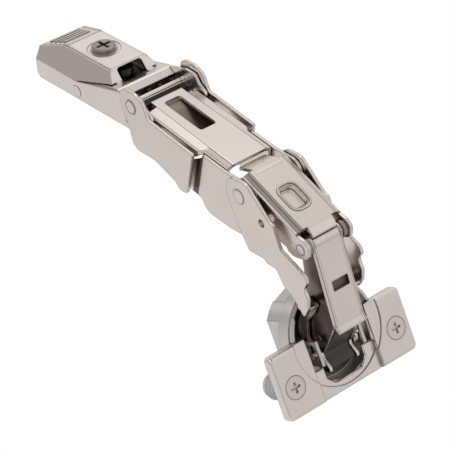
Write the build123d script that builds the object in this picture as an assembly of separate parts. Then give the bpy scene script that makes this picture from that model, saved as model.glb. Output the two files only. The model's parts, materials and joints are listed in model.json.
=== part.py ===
# Concealed wide-angle cup hinge, drawn open. Millimetres.
# Work frame: X runs from the cabinet arm towards the door, Z away from the cabinet side panel,
# the origin is the arm's fold axis. Parts are moved to the seat frame when they are written.
import math
import os

from build123d import *

os.makedirs("parts", exist_ok=True)

# ---------- seat frame ----------
SEAT_X = 28.0           # from the middle of the arm's seat to the fold axis
SEAT_Z = 10.8           # from the seat to the fold axis

# ---------- fold axes (x, z) ----------
FOLD = (0.0, 0.0)       # arm and rear lever
COVER = (5.2, -3.4)     # arm and rear cover lever
TIE = (57.5, -16.93)    # rear cover lever and knuckle
MID = (52.74, -12.47)   # rear lever, knuckle and front plates
ELBOW = (78.83, -22.10)  # knuckle and front link
CUP_TOP = (81.99, -57.01)    # front link and cup
CUP_LOW = (82.46, -62.75)    # front plates and cup

# ---------- door side ----------
CUP_CENTRE = (83.97, -56.53)
CUP_TILT = 25.0         # angle of the door face normal above X

# ---------- clearances ----------
RUN = 0.05              # radial play of a turning pin
OPEN_PLAY = 0.12        # play around a pin that drifts in its slot
TIE_PATH = [(0, 0), (-0.11, 0.46), (0.07, 0.70), (0.29, 0.63), (0.31, 0.32)]
LOW_PATH = [(0, 0), (-0.68, 0.89), (-0.98, 1.76), (-0.94, 2.49), (-0.66, 2.98), (-0.23, 3.17), (0.22, 3.04),
            (0.57, 2.59), (0.71, 1.88), (0.54, 0.98)]


# ---------- sheet layers, half widths from the middle plane ----------
COVER_SHEET = 1.1       # the rear cover's sheet
WIDE_OUT = 10.90
OUTER = (12.60, 13.80)  # rear lever, outer sheet
ARM = (11.10, 12.30)    # arm walls
FRONT = (11.20, 12.40)  # front plates
INNER = (9.80, 11.00)   # rear lever, inner sheet
WIDE = (WIDE_OUT - COVER_SHEET, WIDE_OUT)    # rear cover, wide walls
KNEE = (8.40, 9.60)     # knuckle walls
EAR = (6.90, 8.10)      # rear cover ears
NECK = (7.00, 8.20)     # front plate necks
LINK = (5.40, 6.60)     # front link cheeks
CUP_EAR = (8.60, 9.80)  # cup ears
BLOCK = 5.10            # damper block

# ---------- pins ----------
R_FOLD = 2.63
R_COVER = 1.50
R_TIE = 1.35
R_MID = 1.90
R_MID_HEAD = 2.64
R_ELBOW = 1.50
R_ELBOW_HEAD = 2.05
R_CUP_TOP = 1.25
R_CUP_LOW = 1.20
HEAD = 0.18             # proud height of the riveted ends
FLUSH_HEAD = 0.13       # proud height where the rear lever's inner sheet passes close by


def rounded(points, radius=0.0):
    """Closed outline whose corners are arcs; a third number sets a corner's own radius."""
    count = len(points)
    corners = []
    for i, p in enumerate(points):
        a = Vector(*points[i - 1][:2])
        b = Vector(*p[:2])
        c = Vector(*points[(i + 1) % count][:2])
        r = p[2] if len(p) == 3 else radius
        u = (a - b).normalized()
        v = (c - b).normalized()
        angle = math.acos(max(-1.0, min(1.0, u.dot(v))))
        if r <= 0 or angle > 3.06:
            corners.append((b, None, b))
            continue
        t = min(r / math.tan(angle / 2), 0.47 * (a - b).length, 0.47 * (c - b).length)
        r = t * math.tan(angle / 2)
        bisector = (u + v).normalized()
        middle = b + bisector * (r / math.sin(angle / 2) - r)
        corners.append((b + u * t, middle, b + v * t))
    edges = []
    for i, (start, middle, end) in enumerate(corners):
        if middle is not None:
            edges.append(ThreePointArc(start, middle, end))
        edges.append(Line(end, corners[(i + 1) % count][0]))
    return make_face(edges)


def slab(face, y0, y1):
    """Side outline drawn in X and Z, filled between two widths."""
    return extrude(Plane.XZ.offset(-y1) * face, amount=y1 - y0)


def sheet_on(sign, face, layer):
    """A sheet on one side of the middle plane."""
    return slab(face, layer[0], layer[1]) if sign > 0 else slab(face, -layer[1], -layer[0])


def pair(face, layer):
    """The same sheet on both sides of the middle plane."""
    return sheet_on(1, face, layer) + sheet_on(-1, face, layer)


def disc(centre, radius):
    return Pos(centre[0], centre[1]) * Circle(radius)


def slot(centre, radius, path):
    """Opening that a pin needs when its centre follows a path."""
    face = disc(centre, radius)
    for dx, dz in path[1:]:
        face += disc((centre[0] + dx, centre[1] + dz), radius)
    face += make_hull(face.edges())
    return face


def bar(centre, radius, y0, y1):
    return slab(disc(centre, radius), y0, y1)


def both_bars(centre, radius, y0, y1):
    return bar(centre, radius, y0, y1) + bar(centre, radius, -y1, -y0)


def unit(a, b):
    length = math.hypot(b[0] - a[0], b[1] - a[1])
    return (b[0] - a[0]) / length, (b[1] - a[1]) / length, length


def folded(crease, half, drop, depth, sheet):
    """Cross section of a folded sheet: flat top, sloping shoulders, upright walls."""
    outer = rounded([(-half, -depth, 0), (-half, -drop, 0.9), (-crease, 0, 1.5), (crease, 0, 1.5),
                     (half, -drop, 0.9), (half, -depth, 0)])
    inside = half - sheet
    low = -depth - 1
    lift = sheet * 0.95
    inner = rounded([(-inside, low, 0), (-inside, -drop - lift, 0.3), (-crease, -sheet, 0.6),
                     (crease, -sheet, 0.6), (inside, -drop - lift, 0.3), (inside, low, 0)])
    return outer, inner


def along(a, b, face):
    """A cross section pushed from a to b in the middle plane."""
    ux, uz, length = unit(a, b)
    plane = Plane(origin=(a[0], 0, a[1]), x_dir=(0, 1, 0), z_dir=(ux, 0, uz))
    return extrude(plane * face, amount=length)


def channel(a, b, crease, half, drop, depth, sheet):
    outer, inner = folded(crease, half, drop, depth, sheet)
    return along(a, b, outer) - along(a, b, inner)


# =====================================================================
# ARM
# =====================================================================
ARM_REAR = -57.2
ARM_TOP = 4.8
ARM_TOP_HALF = 7.8
ARM_KNEE_Z = -4.0       # height where the side folds inwards
ARM_SHEET = 1.2
ARM_FRONT_TOP = -18.6   # front end of the top face
GRIP_FOLD = -43.0
GRIP_LOW = 0.5          # height of the grip at the rear end
GRIP_GAP = 0.2
SCREW_X = -32.0
MOUTH_SIZE = (10.6, 5.4)     # opening in the steep front face
MOUTH_SLOPE = ((-18.9, 4.4), (-16.5, -1.2))
RAMP = ((-17.2, 0.1), (-10.2, 1.75), (-7.3, -0.1))   # bridge in front of the housing
SLIT = ((-33.2, -3.9), (-13.0, 0.9), (-9.5, 1.6))


def arm_section(top_half, knee_half, top, knee, low):
    return rounded([(-knee_half, low), (-knee_half, knee, 0.6), (-top_half, top, 1.0),
                    (top_half, top, 1.0), (knee_half, knee, 0.6), (knee_half, low)])


def arm_profile(inset):
    """Side outline of the folded sheet: level top, sloping grip end, steep front end."""
    top = ARM_TOP - inset
    return rounded([(ARM_REAR - 1, -SEAT_Z - inset), (ARM_REAR - 1, GRIP_LOW - 0.3 - inset),
                    (GRIP_FOLD, top), (ARM_FRONT_TOP - inset * 0.6, top),
                    (-15.4 - inset * 0.9, 0.8 - inset * 0.6), (-11.0, 0.6), (-11.0, -SEAT_Z - inset)])


def facet_half(z):
    """Half width of the slanted side at a height."""
    t = (z - ARM_KNEE_Z) / (ARM_TOP - ARM_KNEE_Z)
    return ARM[1] + (ARM_TOP_HALF - ARM[1]) * t


def grip_area(shrink):
    """Plan of the grip plate, wider towards the rear."""
    front = facet_half(ARM_TOP) - 0.7 - shrink
    rear = facet_half(GRIP_LOW) - 0.7 - shrink
    return Polygon((GRIP_FOLD - shrink, -front), (GRIP_FOLD - shrink, front), (ARM_REAR - 3 + shrink, rear),
                   (ARM_REAR - 3 + shrink, -rear), align=None)


def mouth_plane():
    (xa, za), (xb, zb) = MOUTH_SLOPE
    ux, uz, length = unit((xa, za), (xb, zb))
    return Plane(origin=((xa + xb) / 2, 0, (za + zb) / 2), x_dir=(0, 1, 0), z_dir=(-uz, 0, ux))


def arm_housing():
    a = (ARM_REAR, 0.0)
    b = (16.0, 0.0)
    outer = along(a, b, arm_section(ARM_TOP_HALF, ARM[1], ARM_TOP, ARM_KNEE_Z, -SEAT_Z))
    inner = along((a[0] - 2, 0.0), b, arm_section(ARM_TOP_HALF - 0.7, ARM[0], ARM_TOP - ARM_SHEET,
                                                  ARM_KNEE_Z - 0.2, -SEAT_Z - 2))
    shell = (outer & slab(arm_profile(0), -20, 20)) - (inner & slab(arm_profile(ARM_SHEET), -20, 20))
    # upright walls up to the slit, with the ears of both fold axes
    walls = rounded([(ARM_REAR, -SEAT_Z, 2.2), (-2.0, -SEAT_Z, 3.0), (4.0, -9.2, 3.0), (8.9, -8.6, 3.2),
                     (9.2, -1.6, 2.8), (5.6, 0.6, 2.0), (3.6, 3.6, 2.0), (-1.3, 3.9, 1.0), SLIT[2],
                     (SLIT[1][0], SLIT[1][1], 0.3), (SLIT[0][0], SLIT[0][1] + 0.1, 0.5),
                     (ARM_REAR, -5.2, 0.8)])
    front_trim = rounded([(ARM_REAR, -SEAT_Z, 2.2), (-11.2, -SEAT_Z, 0), (-11.2, 0.9), (-12.1, 1.35, 0.5),
                          (ARM_FRONT_TOP, ARM_TOP + 0.01, 0), (-20, 12), (-60, 12), (ARM_REAR, -1.0, 0.8)])
    body = (shell & slab(front_trim, -20, 20)) + pair(walls, ARM)
    # slit between the folded side and the upright wall
    slit = Polygon((SLIT[0][0], SLIT[0][1] + 0.1), (SLIT[1][0], SLIT[1][1] + 0.1), (SLIT[2][0],
                                                                                    SLIT[2][1] + 0.1),
                   (SLIT[2][0], SLIT[2][1] + 0.6), (SLIT[1][0], SLIT[1][1] + 0.55),
                   (SLIT[0][0] + 1, SLIT[0][1] + 0.6), align=None)
    body -= pair(slit, (ARM[0] - 3.2, ARM[1] + 1))
    # bridge between the walls, rolled down at its front edge
    (xa, za), (xb, zb), (xc, zc) = RAMP
    ux, uz, length = unit((xa, za), (xb, zb))
    bridge = rounded([(xa, za), (xb, zb, 1.8), (xc, zc), (xc - 0.9, zc - 0.8), (xb - 0.4, zb - 1.25, 0.8),
                      (xa, za - 1.2)])
    body += slab(bridge, -ARM[0] - 0.3, ARM[0] + 0.3)
    # steep opening and grip opening
    body -= extrude(mouth_plane() * RectangleRounded(MOUTH_SIZE[0], MOUTH_SIZE[1], 1.2),
                    amount=4, both=True)
    body -= extrude(Plane.XY.offset(-2.6) * grip_area(0), amount=14)
    body -= pair(disc(FOLD, R_FOLD - 0.73), (ARM[0] - 0.5, ARM[1] + 0.5))
    body -= pair(disc(COVER, R_COVER + RUN), (ARM[0] - 0.5, ARM[1] + 0.5))
    body -= Pos(SCREW_X, 0, ARM_TOP) * Cylinder(3.1, 8)
    body -= Pos(SCREW_X, 0, ARM_TOP) * (Cylinder(6.0, 0.4) - Cylinder(4.9, 1.0))
    body -= pair(disc((-4.64, -7.87), 1.0), (ARM[0] - 0.5, ARM[1] + 0.5))
    return body + pair(disc((-33.4, -7.8), 2.2), (ARM[1] - 0.3, ARM[1] + 0.15))


def arm_floor():
    """Base frame inside the arm; its underside is the seat."""
    half = ARM[0] - 0.02
    plate = slab(rounded([(-50, -SEAT_Z), (-6, -SEAT_Z), (-6, -SEAT_Z + 1.5), (-50, -SEAT_Z + 1.5)]),
                 -half, half)
    plate -= Pos(-36, 0, -SEAT_Z) * Box(9, 8, 6)
    plate -= Pos(-21.5, 0, -SEAT_Z) * Cylinder(2.05, 6)
    rails = pair(rounded([(-39, -SEAT_Z + 1.5), (-12, -SEAT_Z + 1.5), (-15, -6.0), (-37, -6.0)], 1.0),
                 (half - 1.4, half))
    return plate + rails


def depth_carriage():
    """Threaded block that the depth screw turns in."""
    block = Pos(SCREW_X, 0, -1.4) * Box(9, 13, 5.0)
    return block - Pos(SCREW_X, 0, -1.4) * Cylinder(2.05, 9)


def cross_recess(radius, depth):
    blade = Box(radius * 2, radius * 0.42, depth * 2)
    return blade + Rot(0, 0, 90) * blade


def depth_screw():
    head = Pos(0, 0, 0.75) * Cylinder(4.3, 1.5)
    head = fillet(head.edges().group_by(Axis.Z)[-1], 0.6)
    body = head + Pos(0, 0, -4.2) * Cylinder(2.0, 8.4)
    body -= Pos(0, 0, 1.5) * cross_recess(2.9, 1.1)
    return Pos(SCREW_X, 0, ARM_TOP) * body


SIDE_TILT = 22.0
SIDE_AT = (-21.2, 1.4)


def side_screw():
    """Dark adjusting barrel behind the housing's front opening."""
    body = Cylinder(3.6, 8.0) + Pos(0, 0, -5.6) * Cylinder(1.6, 3.4)
    body -= Pos(0, 0, 4.0) * cross_recess(2.2, 1.2)
    return Pos(SIDE_AT[0] - 0.6, 0, SIDE_AT[1] - 3.4) * body


def side_bush():
    ring = Cylinder(5.4, 1.6) - Cylinder(3.65, 4)
    return Pos(SIDE_AT[0] - 0.6, 0, SIDE_AT[1] - 6.0) * ring


CLIP_AXIS = (-45.0, -6.2)


def clip_lever():
    """Ribbed grip plate at the rear end; pressed down, it releases the arm."""
    ux, uz, length = unit((ARM_REAR - 1, GRIP_LOW - 0.3), (GRIP_FOLD, ARM_TOP))
    sheet = rounded([(ARM_REAR - 0.3, GRIP_LOW - 0.1), (GRIP_FOLD - 0.1, ARM_TOP),
                     (GRIP_FOLD - 0.1, ARM_TOP - 1.1),
                     (ARM_REAR - 0.3, GRIP_LOW - 1.2)])
    body = slab(sheet, -14, 14) & extrude(Plane.XY.offset(-6) * grip_area(GRIP_GAP), amount=20)
    rear = rounded([(ARM_REAR - 0.3, GRIP_LOW - 0.1, 0.5), (ARM_REAR + 0.8, GRIP_LOW + 0.2),
                    (ARM_REAR + 0.8, -4.6),
                    (ARM_REAR - 0.3, -4.6, 0.4)])
    body += slab(rear, -8.6, 8.6)
    legs = rounded([(-56.2, -4.0, 0.5), (-56.2, 0.2), (-44.2, 3.9, 0.3), (-42.6, -8.4, 2.0),
                    (-47.6, -8.4, 2.0)])
    body += pair(legs, (5.6, 6.7))
    for i in range(4):
        t = 3.0 + 2.5 * i
        plane = Plane(origin=(ARM_REAR - 1 + ux * t, 0, GRIP_LOW - 0.3 + uz * t), x_dir=(0, 1, 0),
                      z_dir=(-uz, 0, ux))
        body += extrude(plane * Pos(0, 0, -0.3) * RectangleRounded(13.0 - 0.5 * i, 0.9, 0.4), amount=0.7)
    return body - bar(CLIP_AXIS, 1.2 + RUN, -11, 11)


def clip_pin():
    return bar(CLIP_AXIS, 1.2, -ARM[0] + 0.02, ARM[0] - 0.02)


def clip_spring():
    """Leaf that presses the grip lever down."""
    path = [(-49.0, -9.2), (-44.0, -9.2), (-39.5, -9.2), (-39.5, -8.7), (-44.0, -8.7), (-48.9, -8.65)]
    return slab(rounded(path, 0.2), -3.4, 3.4)


ROLLER = (-4.6, -1.9)


def front_roller():
    """Cross bar in front of the fold axis where the folded cover comes to rest."""
    return bar(ROLLER, 1.0, -ARM[0] + 0.02, ARM[0] - 0.02)


def arm_spring_block():
    """Plastic carrier of the closing springs, between the bridge and the cross bar."""
    shape = rounded([(-11.0, -7.0, 1), (-6.1, -7.0, 1), (-6.1, -2.9, 0.5), (-8.0, -1.7, 0.5),
                     (-11.0, -1.7, 0.5)])
    body = slab(shape, -ARM[0] + 0.1, ARM[0] - 0.1)
    for y in (-7.2, -2.4, 2.4, 7.2):
        body -= Pos(-7.6, y, -1.9) * Box(2.6, 3.4, 2.4)
    return body


def fold_pins():
    head = both_bars(FOLD, R_FOLD, OUTER[0] - 0.1, OUTER[1] + HEAD)
    return head + both_bars(FOLD, R_FOLD - 0.78, ARM[0] + 0.02, OUTER[0])


def cover_pins():
    return both_bars(COVER, R_COVER, WIDE[0] - 0.1, ARM[1] + 0.15)


# =====================================================================
# REAR LEVER AND ITS COVER
# =====================================================================
REAR_TOP = [(8.9, -1.7), (31.7, -5.4)]
REAR_WAVE = [(25.0, -22.3, 2), (23.0, -22.0, 2), (21.3, -20.0, 3), (16.0, -18.1, 5), (10.7, -16.2, 5),
             (1.7, -16.1, 4)]
WEB = (16.2, 21.4, -14.4, -13.2)   # cross web between the two sides


def rear_lever():
    """Outer sheets that stop at a straight cut, inner sheets that go on to the middle axis, one web."""
    outer = rounded([(-5.9, 0.5, 5.4), (-5.0, 5.9, 5.2), (2.3, 5.9, 4.0), (6.2, 4.0, 2.5), (8.3, -0.6, 1.5),
                     (8.9, -1.7, 0.8), (31.7, -5.4, 0.6), (27.2, -22.2, 0.8)] + REAR_WAVE +
                    [(-0.6, -14.6, 2.5), (-2.0, -9.0, 4.0)])
    inner = rounded([(15.0, -17.2, 1), (20.4, -18.8, 2), (22.6, -21.4, 2), (29.6, -22.8, 1),
                     (31.4, -23.4, 1),
                     (33.2, -26.4, 2), (35.4, -27.6, 3), (45.0, -28.6, 3), (53.0, -28.4, 3),
                     (57.6, -20.0, 4),
                     (58.2, -10.0, 4.5), (54.6, -7.4, 4.5), (45.3, -7.4, 0.5), (33.4, -5.8, 0.6),
                     (33.3, -7.1, 0.4), (27.3, -10.3, 1.0), (20.0, -11.4, 2), (15.0, -11.8, 1)])
    body = pair(outer, OUTER) + pair(inner, INNER)
    web = rounded([(WEB[0], WEB[2]), (WEB[1], WEB[2]), (WEB[1], WEB[3]), (WEB[0], WEB[3])], 0.3)
    body += slab(web, -OUTER[1] + 0.2, OUTER[1] - 0.2)
    body -= both_bars(FOLD, R_FOLD + RUN, OUTER[0] - 1, OUTER[1] + 1)
    body -= both_bars(MID, R_MID + RUN, INNER[0] - 1, INNER[1] + 1)
    return body


COVER_A = (1.9, -0.3)
COVER_B = (44.5, -6.3)
COVER_STEP = 31.2       # where the rear cover narrows
COVER_TAPER = 1.6
COVER_CREASE = (6.85, 7.4)
COVER_DROP = 0.8


def rear_cover():
    ux, uz, length = unit(COVER_A, COVER_B)
    at = lambda x: (x, COVER_A[1] + (x - COVER_A[0]) * uz / ux)
    wide_end = at(COVER_STEP)
    slim_start = at(COVER_STEP + COVER_TAPER)
    narrow = KNEE[1] - 0.05
    body = channel(COVER_A, wide_end, COVER_CREASE[0], WIDE[1], COVER_DROP, 20, COVER_SHEET)
    body += channel(slim_start, COVER_B, COVER_CREASE[0], narrow, COVER_DROP, 20, COVER_SHEET)
    # tapered step between the two widths
    for outer_pass in (True, False):
        a = folded(COVER_CREASE[0], WIDE[1], COVER_DROP, 20, COVER_SHEET)[0 if outer_pass else 1]
        b = folded(COVER_CREASE[0], narrow, COVER_DROP, 20, COVER_SHEET)[0 if outer_pass else 1]
        pa = Plane(origin=(wide_end[0], 0, wide_end[1]), x_dir=(0, 1, 0), z_dir=(ux, 0, uz))
        pb = Plane(origin=(slim_start[0], 0, slim_start[1]), x_dir=(0, 1, 0), z_dir=(ux, 0, uz))
        piece = loft([(pa * a).face(), (pb * b).face()])
        body = body + piece if outer_pass else body - piece
    side = rounded([(1.2, 1.5), (1.6, -1.6, 0.5), (2.6, -6.2, 2.5), (6.5, -8.4, 2.5), (12, -5.0, 1),
                    (32.3, -6.6, 0.4), (33.6, -9.4, 1), (39.0, -12.4, 1.5), (41.0, -19.4, 1.5),
                    (46.0, -19.4, 0.5), (45.6, -13.0, 1), (45.2, -5), (44.0, 0)])
    body &= slab(side, -20, 20)
    # ears to the tie axis, set inwards
    ear = rounded([(39.8, -19.3, 1), (39.8, -14.6, 1), (47.0, -14.8, 2), (53.0, -14.7, 2.5),
                   (56.0, -13.0, 3.5),
                   (61.6, -13.0, 4.1), (61.7, -20.9, 4.1), (53.5, -20.9, 4.0), (51.0, -19.3, 2)])
    body += pair(ear, EAR)
    joggle = rounded([(39.8, -19.2), (45.2, -19.2), (45.2, -14.9), (39.8, -14.7)], 0.8)
    body += pair(joggle, (EAR[0], narrow - 0.1))
    # window in the top face and notched rear corners
    window = Plane(origin=(14.4, 0, at(14.4)[1]), x_dir=(ux, 0, uz), z_dir=(-uz, 0, ux))
    body -= extrude(window * RectangleRounded(19.5, 6.8, 1.1), amount=6, both=True)
    for y in (-9.0, 9.0):
        body -= Pos(2.2, y, 0) * Box(6.0, 4.4, 6)
    body -= both_bars(COVER, R_COVER + RUN, WIDE[0] - 1, WIDE[1] + 0.6)
    body -= pair(slot(TIE, R_TIE + OPEN_PLAY, TIE_PATH), (EAR[0] - 1, EAR[1] + 1))
    return body


def cover_pads():
    """Plastic guides on the inside of the rear cover's shoulders."""
    shape = rounded([(9.0, -3.4), (28.0, -6.0), (28.0, -7.6), (9.0, -6.4)], 0.5)
    return pair(shape, (WIDE[0] - 1.3, WIDE[0] - 0.02))


# =====================================================================
# KNUCKLE
# =====================================================================
KNEE_A = (52.4, -5.7)
KNEE_B = (77.4, -16.1)
KNEE_SHEET = 1.2


def knuckle():
    ux, uz, length = unit(KNEE_A, KNEE_B)
    body = channel(KNEE_A, KNEE_B, 7.0, KNEE[1], 1.1, 26, KNEE_SHEET)
    side = rounded([(51.6, -2.0), (51.6, -9.0, 0.5), (48.2, -9.2, 3.5), (47.9, -15.4, 4.0),
                    (52.2, -19.6, 3),
                    (56.5, -22.6, 3), (66.0, -22.6, 5), (72.0, -24.2, 4), (78.8, -26.2, 3.5),
                    (83.0, -24.0, 3.6),
                    (82.9, -19.4, 3.2), (79.2, -17.2, 1.0), (78.0, -12.0), (60.0, -2.0)])
    body &= slab(side, -20, 20)
    body += pair(rounded([(51.8, -7.4, 0.5), (48.2, -9.2, 3.2), (47.9, -15.4, 4.0), (52.2, -19.6, 3),
                          (56.5, -22.4, 3),
                          (57.5, -10.0, 1)]), KNEE)
    body += pair(rounded([(72.0, -17.0, 1), (77.0, -17.6, 1), (80.2, -18.3, 2.0), (82.6, -19.6, 3.0),
                          (82.6, -24.8, 3.6),
                          (75.5, -26.2, 3), (72.0, -25.2, 2)]), KNEE)
    # rear tongue that dips under the rear cover
    body += slab(rounded([(54.4, -6.5), (52.1, -5.6, 2.6), (45.4, -7.65, 0.3), (45.4, -8.8, 0.3),
                          (52.2, -6.8, 1.5),
                          (54.4, -7.7)]), -5.4, 5.4)
    # rolled front edge between the elbow ears
    roll = rounded([(76.6, -15.77, 0), (78.0, -16.35, 1.4), (80.3, -18.9, 1.4), (79.6, -19.6, 0.3),
                    (78.5, -18.3, 0.6), (77.2, -17.2, 0.6), (76.6, -17.1, 0)])
    body += slab(roll, -LINK[0] + 0.2, LINK[0] - 0.2)
    # embossed pocket with a raised rim
    middle = Plane(origin=(66.4, 0, KNEE_A[1] + (66.4 - KNEE_A[0]) * uz / ux), x_dir=(ux, 0, uz),
                   z_dir=(-uz, 0, ux))
    pocket = RectangleRounded(10.4, 7.4, 2.6)
    rim = RectangleRounded(11.6, 8.6, 3.1)
    centre = Pos(0, -0.6)
    body += extrude(middle * centre * rim, amount=0.3)
    body -= extrude(middle * centre * pocket, amount=4, both=True)
    cup = extrude(middle * Pos(0, -0.6, -3.2) * rim, amount=3.0) - extrude(
        middle * Pos(0, -0.6, -2.2) * RectangleRounded(9.2, 6.2, 2.0), amount=6)
    cup -= extrude(middle * Pos(5.4, -0.6, -5.0) * Rectangle(4.0, 12), amount=3.1)
    body += cup
    body -= both_bars(MID, R_MID + RUN, KNEE[0] - 1, KNEE[1] + 1)
    body -= both_bars(TIE, R_TIE + RUN, KNEE[0] - 1, KNEE[1] + 1)
    body -= both_bars(ELBOW, R_ELBOW + RUN, KNEE[0] - 1, KNEE[1] + 1)
    return body


def mid_pin():
    head = both_bars(MID, R_MID_HEAD, FRONT[1] - 0.55, FRONT[1] + HEAD)
    return bar(MID, R_MID, -FRONT[1], FRONT[1]) + head


def mid_bush():
    return bar(MID, 3.0, -6.6, 6.6) - bar(MID, R_MID + RUN, -8, 8)


def tie_pin():
    return bar(TIE, R_TIE, -KNEE[1] - 0.15, KNEE[1] + 0.15)


def elbow_pin():
    head = both_bars(ELBOW, R_ELBOW_HEAD, KNEE[1] + 0.01, KNEE[1] + FLUSH_HEAD)
    return bar(ELBOW, R_ELBOW, -KNEE[1] - 0.1, KNEE[1] + 0.1) + head


def elbow_washers():
    ring = disc(ELBOW, 3.1) - disc(ELBOW, R_ELBOW + RUN)
    return pair(ring, (LINK[1] + 0.05, KNEE[0] - 0.05))


# =====================================================================
# FRONT PLATES
# =====================================================================
PLATE_TOP = [(67.2, -15.9, 1.0), (68.8, -16.2, 1.0), (72.1, -24.2, 0.6), (78.7, -26.9, 1.0),
             (83.4, -29.0, 1.2),
             (84.3, -31.1, 1.2), (82.6, -34.4, 2.0)]
PLATE_HOLE = (63.49, -17.81)
PLATE_WAVE = [(72.8, -37.7, 2), (70.5, -34.2, 1.5), (69.4, -32.6, 1.5), (65.0, -32.6, 1.5),
              (63.8, -31.4, 2),
              (56.4, -31.8, 2)]
PLATE_TIP = [(84.4, -37.4, 2.5), (84.2, -41.5, 2.0), (82.2, -45.6, 0.8), (79.2, -41.9, 2.5),
             (76.0, -39.2, 3.0)]
NECK_OUTLINE = [(78.4, -41.6, 1.0), (83.6, -41.8, 1.0), (81.9, -46.5, 3.0), (78.5, -51.0, 4.0),
                (78.3, -58.0, 3.0),
                (80.8, -60.8, 1.5), (84.9, -61.0, 1.8), (84.9, -65.2, 2.4), (80.3, -65.4, 3.0),
                (76.3, -62.0, 4.0),
                (74.6, -57.0, 5.0), (74.9, -51.0, 5.0), (77.6, -46.5, 3.0)]


def front_plate(side):
    """Broad wavy plate with a neck that is set inwards and reaches into the cup."""
    wall = rounded([(46.6, -13.5, 5.2), (47.4, -6.7, 5.4), (56.6, -6.3, 4.0)] + PLATE_TOP + PLATE_TIP +
                   PLATE_WAVE + [(52.6, -26.0, 4)])
    neck = rounded(NECK_OUTLINE)
    step = rounded([(78.8, -41.9, 0.5), (83.6, -42.2, 0.5), (83.2, -43.6, 0.5), (79.6, -43.3, 0.5)])
    sign = 1 if side > 0 else -1
    body = sheet_on(sign, wall, FRONT) + sheet_on(sign, neck, NECK) + sheet_on(sign, step, (NECK[0],
                                                                                            FRONT[1]))
    body -= sheet_on(sign, disc(MID, R_MID + RUN), (FRONT[0] - 1, FRONT[1] + 1))
    body -= sheet_on(sign, disc(MID, R_MID_HEAD + RUN), (FRONT[1] - 0.6, FRONT[1] + 1))
    body -= sheet_on(sign, disc(PLATE_HOLE, 1.4), (FRONT[0] - 1, FRONT[1] + 1))
    return body - sheet_on(sign, disc(CUP_LOW, R_CUP_LOW + RUN), (NECK[0] - 0.5, NECK[1] + 0.5))


# =====================================================================
# FRONT LINK
# =====================================================================
LINK_A = (80.9, -21.6)
LINK_B = (90.2, -49.1)
LINK_SHEET = 1.2
CURL_R = 2.3            # the link's upper end is curled round the elbow pin
# front edge of the cheeks below the top face: a straight run, a hollow and a lobe
CHEEK_FRONT = [(84.3, -61.6, 1.5), (83.3, -63.4, 1.2), (83.5, -64.9, 1.0), (86.9, -67.2, 1.0),
               (87.1, -68.6, 0.7)]
CHEEK_FOOT = [(84.3, -69.4, 2.0), (79.6, -68.6, 5.0), (74.0, -64.4, 5.0), (71.9, -58.5, 4.0),
              (72.7, -53.4, 2.0),
              (76.2, -51.0, 2.0), (79.0, -48.2, 3.0)]
LINK_BACK = [(77.4, -45.5, 4.0), (75.2, -40.0, 3.5), (76.6, -33.5, 3.0), (75.8, -26.0, 2.5),
             (75.8, -20.6, 2.8), (79.0, -18.9, 2.6)]
BLOCK_SET = 0.35        # the plastic block lies this far inside the cheeks' front edge


def front_link():
    ux, uz, length = unit(LINK_A, LINK_B)
    body = channel(LINK_A, LINK_B, 5.9, LINK[1], 0.5, 20, LINK_SHEET)
    side = rounded([(89.8, -50.0, 0.5), (93.0, -48.0), (84.0, -20.0), (82.0, -18.6, 1.5),
                    (79.0, -18.9, 2.0),
                    (75.8, -21.0, 2.6), (75.7, -25.0, 2.5), (77.2, -32.0, 6), (79.9, -44.0, 5),
                    (80.0, -50.0, 1)])
    body &= slab(side, -20, 20)
    cheeks = rounded([(81.2, -21.0, 1.0), (81.4, -25.0, 0.4),
                      (89.4, -49.4, 0.4)] + CHEEK_FRONT + CHEEK_FOOT +
                     LINK_BACK)
    body += pair(cheeks, LINK)
    # rolled lower end of the top face
    end = rounded([(89.05, -49.6, 0), (89.6, -48.0, 0), (90.3, -49.3, 1.0), (91.9, -50.6, 0.5),
                   (91.3, -51.4, 0.5),
                   (90.0, -50.6, 0.8)])
    body += slab(end, -LINK[1] + 0.3, LINK[1] - 0.3)
    body += bar(ELBOW, CURL_R, -LINK[0], LINK[0])
    hole = Plane(origin=(85.9, 0.6, LINK_A[1] + (85.9 - LINK_A[0]) * uz / ux), x_dir=(0, 1, 0),
                 z_dir=(-uz, 0, ux))
    body -= extrude(hole * RectangleRounded(6.8, 3.5, 0.3), amount=3, both=True)
    body -= bar(ELBOW, R_ELBOW + RUN, -8, 8)
    body -= bar(CUP_TOP, R_CUP_TOP + RUN, -8, 8)
    return body


def link_insert():
    """Dark plastic spine seen through the hole of the front link."""
    shape = rounded([(79.4, -29.0, 1), (81.6, -29.6, 0.5), (86.4, -44.0, 1), (82.6, -44.4, 1),
                     (79.4, -34.0, 1)])
    return slab(shape, -LINK[0] + 0.03, LINK[0] - 0.03)


# ---------- soft-close block between the cheeks ----------
PISTON_R = 1.5
PISTON_PLAY = 0.06
PISTON_STROKE = 3.0
PISTON_TOP = (78.2, -59.4)    # closed end of the bore
PISTON_END = (76.9, -67.9)    # outer end of the piston


def damper_block():
    """Dark plastic block that fills the link between its cheeks."""
    front = [(x - BLOCK_SET, z, r) for x, z, r in CHEEK_FRONT[:3]]
    foot = [(86.3, -67.4, 1.0), (86.2, -68.2, 0.7), (83.9, -68.6, 2.0), (79.6, -66.0, 4.0),
            (75.2, -63.6, 4.0),
            (73.0, -58.3, 4.0), (74.0, -54.2, 2.0), (77.0, -51.8, 2.0), (80.8, -48.6, 2.0),
            (84.6, -46.0, 0.5),
            (87.6, -46.4, 0.5), (88.4, -49.9, 0.3), (89.2, -51.2, 0.4)]
    body = slab(rounded(front + foot), -BLOCK, BLOCK)
    body -= bar(CUP_TOP, R_CUP_TOP + RUN, -8, 8)
    return body - along(PISTON_TOP, PISTON_END, Circle(PISTON_R + PISTON_PLAY))


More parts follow.
